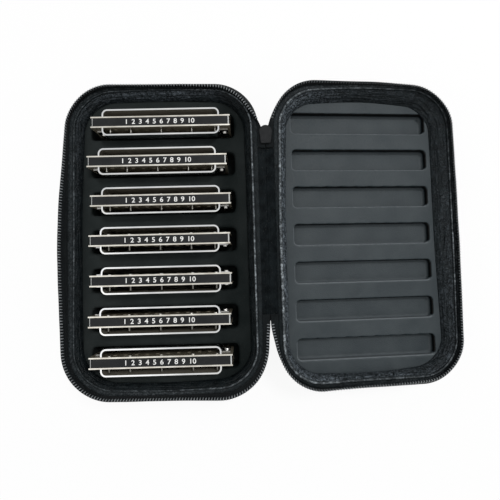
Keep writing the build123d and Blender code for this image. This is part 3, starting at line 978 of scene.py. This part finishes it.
def tapeTip(name, station):
    out = roundRim(station, zipSizes[name]["lean"])
    up = zipSizes["rise"]
    share = 1.0
    if abs(station["u"]) < rimSizes["corner"] * zipSizes["turnReach"]:
        start, end = zipSizes["northTurn"] if station["v"] > 0 else zipSizes["southTurn"]
        share = easeBetween(abs(station["v"]), abs(end), abs(start))
        toMiddle = zipGap / 2 - zipSizes["tipGap"]
        out = toMiddle + (out - toMiddle) * share
        up = zipSizes["chainDrop"] + (up - zipSizes["chainDrop"]) * share
    waver = noise.noise(Vector((station["u"], station["v"], 5.0)) / zipSizes["waverLength"])
    return out + zipSizes["waver"] * waver, up, share


def tapeLine(name, station, start, end, rows):
    # points from the sewn edge to the tip, and the tape's own thickness direction
    outTip, upTip, _ = tapeTip(name, station)
    foot = Vector((zipSizes["foot"], 0.0))
    tip = Vector((outTip, upTip))
    knee = foot + Vector((zipSizes["knee"][0] * (outTip - foot.x), zipSizes["knee"][1] * upTip))
    line = []
    for row in range(rows):
        share = start + (end - start) * row / (rows - 1)
        point = foot * (1 - share) ** 2 + knee * 2 * share * (1 - share) + tip * share**2
        slope = (knee - foot) * (1 - share) + (tip - knee) * share
        slope.normalize()
        line.append((point, slope))
    return line


def makeTape(name, run):
    def profile(station):
        # the cloth stops short of the tip, but not where it turns in under the slider
        turned = 1 - tapeTip(name, station)[2]
        reach = roundRim(station, zipSizes[name]["cloth"])
        reach += (1 - reach) * turned
        line = tapeLine(name, station, 0.0, reach, zipSizes["rows"])
        half = zipSizes["thickness"] / 2
        outer = [(point.x + slope.y * half, point.y - slope.x * half, 0.0) for point, slope in line]
        inner = [(point.x - slope.y * half, point.y + slope.x * half, 0.0) for point, slope in line]
        sewn = [(out, zipSizes["sewnDepth"], 0.0) for out in zipSizes["sewnEdge"]]
        return sewn + outer + inner[::-1]

    return sweepRim(name + "_zip_cloth", halves[name], run, profile, False, zipCloth)


# coil turns, repeated along a path


def makeRowTree(treeName, material):
    # repeats one bent wire link along a path, facing the directions stored on the path
    tree = bpy.data.node_groups.new(treeName, "GeometryNodeTree")
    tree.interface.new_socket("Geometry", in_out="INPUT", socket_type="NodeSocketGeometry")
    for label in ("Pitch", "Across", "Height", "Thread", "Slant"):
        tree.interface.new_socket(label, in_out="INPUT", socket_type="NodeSocketFloat")
    tree.interface.new_socket("Geometry", in_out="OUTPUT", socket_type="NodeSocketGeometry")
    given = tree.nodes.new("NodeGroupInput").outputs
    result = tree.nodes.new("NodeGroupOutput").inputs
    path = put(tree, "GeometryNodeMeshToCurve", {"Mesh": given["Geometry"]})
    spacing = {"Curve": path.outputs[0], "Length": given["Pitch"]}
    spaced = put(tree, "GeometryNodeResampleCurve", spacing, mode="LENGTH")
    ring = put(tree, "GeometryNodeCurvePrimitiveCircle", {"Resolution": 10, "Radius": 0.5})
    size = put(tree, "ShaderNodeCombineXYZ", {0: given["Across"], 1: given["Height"], 2: 1.0})
    loop = put(tree, "GeometryNodeTransform", {"Geometry": ring.outputs[0], "Scale": size.outputs[0]})
    wire = put(tree, "GeometryNodeCurvePrimitiveCircle", {"Resolution": 5, "Radius": given["Thread"]})
    link = put(tree, "GeometryNodeCurveToMesh", {"Curve": loop.outputs[0], "Profile Curve": wire.outputs[0]})
    lean = put(tree, "ShaderNodeCombineXYZ", {1: given["Slant"]})
    slanted = put(tree, "GeometryNodeTransform", {"Geometry": link.outputs[0], "Rotation": lean.outputs[0]})
    across = put(tree, "GeometryNodeInputNamedAttribute", {"Name": "across"}, data_type="FLOAT_VECTOR")
    tangent = put(tree, "GeometryNodeInputTangent")
    first = put(
        tree,
        "FunctionNodeAlignRotationToVector",
        {"Vector": across.outputs[0]},
        axis="X",
    )
    second = put(
        tree,
        "FunctionNodeAlignRotationToVector",
        {"Rotation": first.outputs[0], "Vector": tangent.outputs[0]},
        axis="Z",
        pivot_axis="X",
    )
    placed = put(
        tree,
        "GeometryNodeInstanceOnPoints",
        {"Points": spaced.outputs[0], "Instance": slanted.outputs[0], "Rotation": second.outputs[0]},
    )
    real = put(tree, "GeometryNodeRealizeInstances", {"Geometry": placed.outputs[0]})
    smooth = put(tree, "GeometryNodeSetShadeSmooth", {"Geometry": real.outputs[0]})
    painted = put(tree, "GeometryNodeSetMaterial", {"Geometry": smooth.outputs[0], "Material": material})
    tree.links.new(painted.outputs[0], result[0])
    return tree


def pathMesh(name, points, directions):
    mesh = bpy.data.meshes.new(name)
    mesh.from_pydata(points, [(index, index + 1) for index in range(len(points) - 1)], [])
    stored = mesh.attributes.new("across", "FLOAT_VECTOR", "POINT")
    stored.data.foreach_set("vector", [value for direction in directions for value in direction])
    return mesh


def repeatAlong(name, points, directions, tree, sizes, material):
    guide = newPiece(name + "_guide", pathMesh(name + "_guide", points, directions), material)
    row = guide.modifiers.new("row", "NODES")
    row.node_group = tree
    for item in tree.interface.items_tree:
        if item.in_out == "INPUT" and item.name in sizes:
            row[item.identifier] = sizes[item.name]
    bpy.context.view_layer.update()
    mesh = bpy.data.meshes.new_from_object(guide.evaluated_get(bpy.context.evaluated_depsgraph_get()))
    bpy.data.objects.remove(guide)
    mesh.name = name
    return newPiece(name, mesh, material)


def makeCoil(name, run, tree):
    points, directions = [], []
    half = halves[name]
    inward = zipSizes["coilWidth"] / 2
    for station in run:
        tip, slope = tapeLine(name, station, 0.0, 1.0, 2)[-1]
        centre = tip - slope * inward
        points.append(atRim(half, station, centre.x, centre.y))
        outer = atRim(half, station, tip.x, tip.y)
        directions.append((outer - points[-1]).normalized())
    sizes = {
        "Pitch": zipSizes["pitch"],
        "Across": zipSizes["coilWidth"] - 2 * zipSizes["thread"],
        "Height": zipSizes["coilHeight"] - 2 * zipSizes["thread"],
        "Thread": zipSizes["thread"],
        "Slant": zipSizes["slant"],
    }
    return repeatAlong(name + "_zip_teeth", points, directions, tree, sizes, coilNylonPaintedGlints)


coilTree = makeRowTree("coilRow", coilNylonPaintedGlints)
for name, half in halves.items():
    tape = makeTape(name, zipRun(name, zipSizes["clothEnds"]))
    coil = makeCoil(name, zipRun(name, zipSizes["coilEnds"]), coilTree)
    for piece, node, slotName in ((tape, "_zip_tape", "zip_tape"), (coil, "_zip_coil", "zip_coil")):
        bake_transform(piece)
        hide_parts(name + node)
print("zip tapes and coils made")

# hinge strip

stripSizes = {
    "low": -0.0632,
    "high": 0.0673,
    "tuck": 0.0030,
    "top": 0.0006,
    "sag": 0.0014,
    "thickness": 0.0009,
    "foldHeight": 0.0005,
    "foldAcross": 0.0030,
    "foldAlong": 0.035,
    "foldSharpness": 2.4,
    "columns": 14,
    "rows": 150,
    "bendStart": 0.0006,
    "bendLength": 0.0040,
}


def stripPoint(across, v):
    # across goes from 0, at the tray's rim, to 1, at the lid's rim
    tuck = stripSizes["tuck"]
    x = halves["tray"]["hinge"].x - tuck + across * (zipGap + 2 * tuck)
    fold = noise.noise(Vector((x / stripSizes["foldAcross"], v / stripSizes["foldAlong"], 2.0)))
    fade = math.sin(math.pi * across)
    z = halves["tray"]["hinge"].z - stripSizes["top"] - stripSizes["sag"] * fade**2
    z += stripSizes["foldHeight"] * (1 - stripSizes["foldSharpness"] * abs(fold)) * fade
    return Vector((x, v, z))


def makeStrip(name, first, last):
    build = bmesh.new()
    columns, rows = stripSizes["columns"], stripSizes["rows"]
    top, under = [], []
    for row in range(rows + 1):
        v = stripSizes["low"] + (stripSizes["high"] - stripSizes["low"]) * row / rows
        upper = [stripPoint(first + (last - first) * column / columns, v) for column in range(columns + 1)]
        top.append([build.verts.new(point) for point in upper])
        under.append([build.verts.new(point - Vector((0, 0, stripSizes["thickness"]))) for point in upper])
    for sheet in (top, under):
        for row in range(rows):
            for column in range(columns):
                corners = (sheet[row][column], sheet[row][column + 1])
                build.faces.new(corners + (sheet[row + 1][column + 1], sheet[row + 1][column]))
    edges = []
    edges.append([(top[row][0], under[row][0]) for row in range(rows + 1)])
    edges.append([(top[row][-1], under[row][-1]) for row in range(rows + 1)])
    edges.append([(top[0][column], under[0][column]) for column in range(columns + 1)])
    edges.append([(top[-1][column], under[-1][column]) for column in range(columns + 1)])
    for edge in edges:
        for (topHere, underHere), (topNext, underNext) in zip(edge, edge[1:]):
            build.faces.new((topHere, topNext, underNext, underHere))
    bmesh.ops.recalc_face_normals(build, faces=build.faces)
    mesh = bpy.data.meshes.new(name)
    build.to_mesh(mesh)
    build.free()
    mesh.shade_smooth()
    return newPiece(name, mesh, spineLeather)


trayStrip = makeStrip("hinge_leather_tray_side", 0.0, 0.5)
lidStrip = makeStrip("hinge_leather_lid_side", 0.5, 1.0)
for piece, name in ((trayStrip, "tray"), (lidStrip, "lid")):
    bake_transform(piece)
    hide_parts("hinge_spine")
print("hinge strip made")

# numbers on the harmonicas

numberSizes = {
    "text": "1 2 3 4 5 6 7 8 9 10",
    "width": 0.050,
    "height": 0.0036,
    "lift": 0.00004,
    "depth": 0.01,
    "boldness": 0.012,
    "wordGap": 1.7,
}


def makeNumbers(index):
    low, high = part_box(f"harmonica_{index}_comb")
    letters = bpy.data.curves.new("letters", "FONT")
    letters.body = numberSizes["text"]
    letters.extrude = numberSizes["depth"]
    letters.offset = numberSizes["boldness"]
    letters.space_word = numberSizes["wordGap"]
    sample = bpy.data.objects.new("letters", letters)
    bpy.context.scene.collection.objects.link(sample)
    mesh = bpy.data.meshes.new_from_object(sample.evaluated_get(bpy.context.evaluated_depsgraph_get()))
    bpy.data.objects.remove(sample)
    spots = [vert.co for vert in mesh.vertices]
    left, right = min(spot.x for spot in spots), max(spot.x for spot in spots)
    bottom, top = min(spot.y for spot in spots), max(spot.y for spot in spots)
    middle = (low + high) / 2
    for vert in mesh.vertices:
        x = (vert.co.x - (left + right) / 2) / (right - left) * numberSizes["width"]
        y = (vert.co.y - (bottom + top) / 2) / (top - bottom) * numberSizes["height"]
        z = numberSizes["lift"] if vert.co.z > 0 else 0.0
        vert.co = Vector((middle.x + x, middle.y + y, high.z + z))
    mesh.name = f"harmonica_{index}_numbers"
    piece = newPiece(mesh.name, mesh, numberInk)
    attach(piece, f"harmonica_{index}")


for index in range(1, harmonicaCount + 1):
    makeNumbers(index)
print("numbers made")

# floor, light and camera

stageSizes = {
    "floor": 3.0,
    "floorColour": 0.93,
    "whiteShare": 0.9,
    "sky": 0.6,
    "reflectedSky": 0.92,
    "floorDrop": 0.0002,
    "key": 8.5,
    "keySize": 0.3,
    "keyPlace": (0.5, 0.5, 1.25),
    "fill": 1.5,
    "fillSize": 0.9,
    "fillPlace": (-0.7, -0.3, 0.9),
    "aim": (0.07, 0, 0),
}


def makeFloor():
    build = bmesh.new()
    bmesh.ops.create_grid(build, x_segments=1, y_segments=1, size=stageSizes["floor"])
    mesh = bpy.data.meshes.new("floor")
    build.to_mesh(mesh)
    build.free()
    material = bpy.data.materials.new("paleFloor")
    material.use_nodes = True
    tree = material.node_tree
    tree.nodes.clear()
    # seen directly or in a reflection it is nearly white, and a faint shadow stays
    matt = put(tree, "ShaderNodeBsdfDiffuse", {"Color": grey(stageSizes["floorColour"])})
    white = put(tree, "ShaderNodeEmission", {"Color": grey(1.0), "Strength": 1.0})
    path = put(tree, "ShaderNodeLightPath").outputs
    reflected = maths(tree, "MAXIMUM", path["Is Glossy Ray"], path["Is Transmission Ray"])
    seen = maths(tree, "MAXIMUM", path["Is Camera Ray"], reflected)
    share = maths(tree, "MULTIPLY", seen, stageSizes["whiteShare"])
    mixed = put(tree, "ShaderNodeMixShader", {0: share, 1: matt.outputs[0], 2: white.outputs[0]})
    output = put(tree, "ShaderNodeOutputMaterial")
    tree.links.new(mixed.outputs[0], output.inputs[0])
    floor = newPiece("floor", mesh, material)
    floor.location.z = -stageSizes["floorDrop"]


def makeSky():
    world = bpy.data.worlds.new("studio")
    bpy.context.scene.world = world
    world.use_nodes = True
    tree = world.node_tree
    tree.nodes.clear()
    path = put(tree, "ShaderNodeLightPath").outputs
    seen = maths(tree, "MAXIMUM", path["Is Camera Ray"], path["Is Transmission Ray"])
    sky, reflected = stageSizes["sky"], stageSizes["reflectedSky"]
    plain = put(tree, "ShaderNodeMapRange", {0: path["Is Glossy Ray"], 3: sky, 4: reflected})
    level = put(tree, "ShaderNodeMapRange", {0: seen, 3: plain.outputs[0], 4: 1.0})
    back = put(tree, "ShaderNodeBackground", {"Color": grey(1.0), "Strength": level.outputs[0]})
    output = put(tree, "ShaderNodeOutputWorld")
    tree.links.new(back.outputs[0], output.inputs[0])


def addLamp(name, power, size, spot, aim):
    lamp = bpy.data.lights.new(name, "AREA")
    lamp.energy = power
    lamp.size = size
    holder = bpy.data.objects.new(name, lamp)
    holder.location = spot
    holder.rotation_euler = (Vector(aim) - Vector(spot)).to_track_quat("-Z", "Y").to_euler()
    bpy.context.scene.collection.objects.link(holder)


makeFloor()
makeSky()
for name in ("key", "fill"):
    power, size, spot = stageSizes[name], stageSizes[name + "Size"], stageSizes[name + "Place"]
    addLamp(name + "Lamp", power, size, spot, stageSizes["aim"])

cameraSizes = {
    "lens": 23.79,
    "sensor": 36.0,
    "nearest": 0.01,
    "place": (0.0593, -0.0228, 0.2747),
    "turn": (0.0479, -0.0102, -0.0252),
}
eye = bpy.data.cameras.new("camera")
eye.sensor_width = cameraSizes["sensor"]
eye.lens = cameraSizes["lens"]
eye.clip_start = cameraSizes["nearest"]
camera = bpy.data.objects.new("camera", eye)
camera.location = cameraSizes["place"]
camera.rotation_euler = cameraSizes["turn"]
bpy.context.scene.collection.objects.link(camera)
bpy.context.scene.camera = camera
bpy.context.scene.view_settings.view_transform = "Standard"
print("stage set")
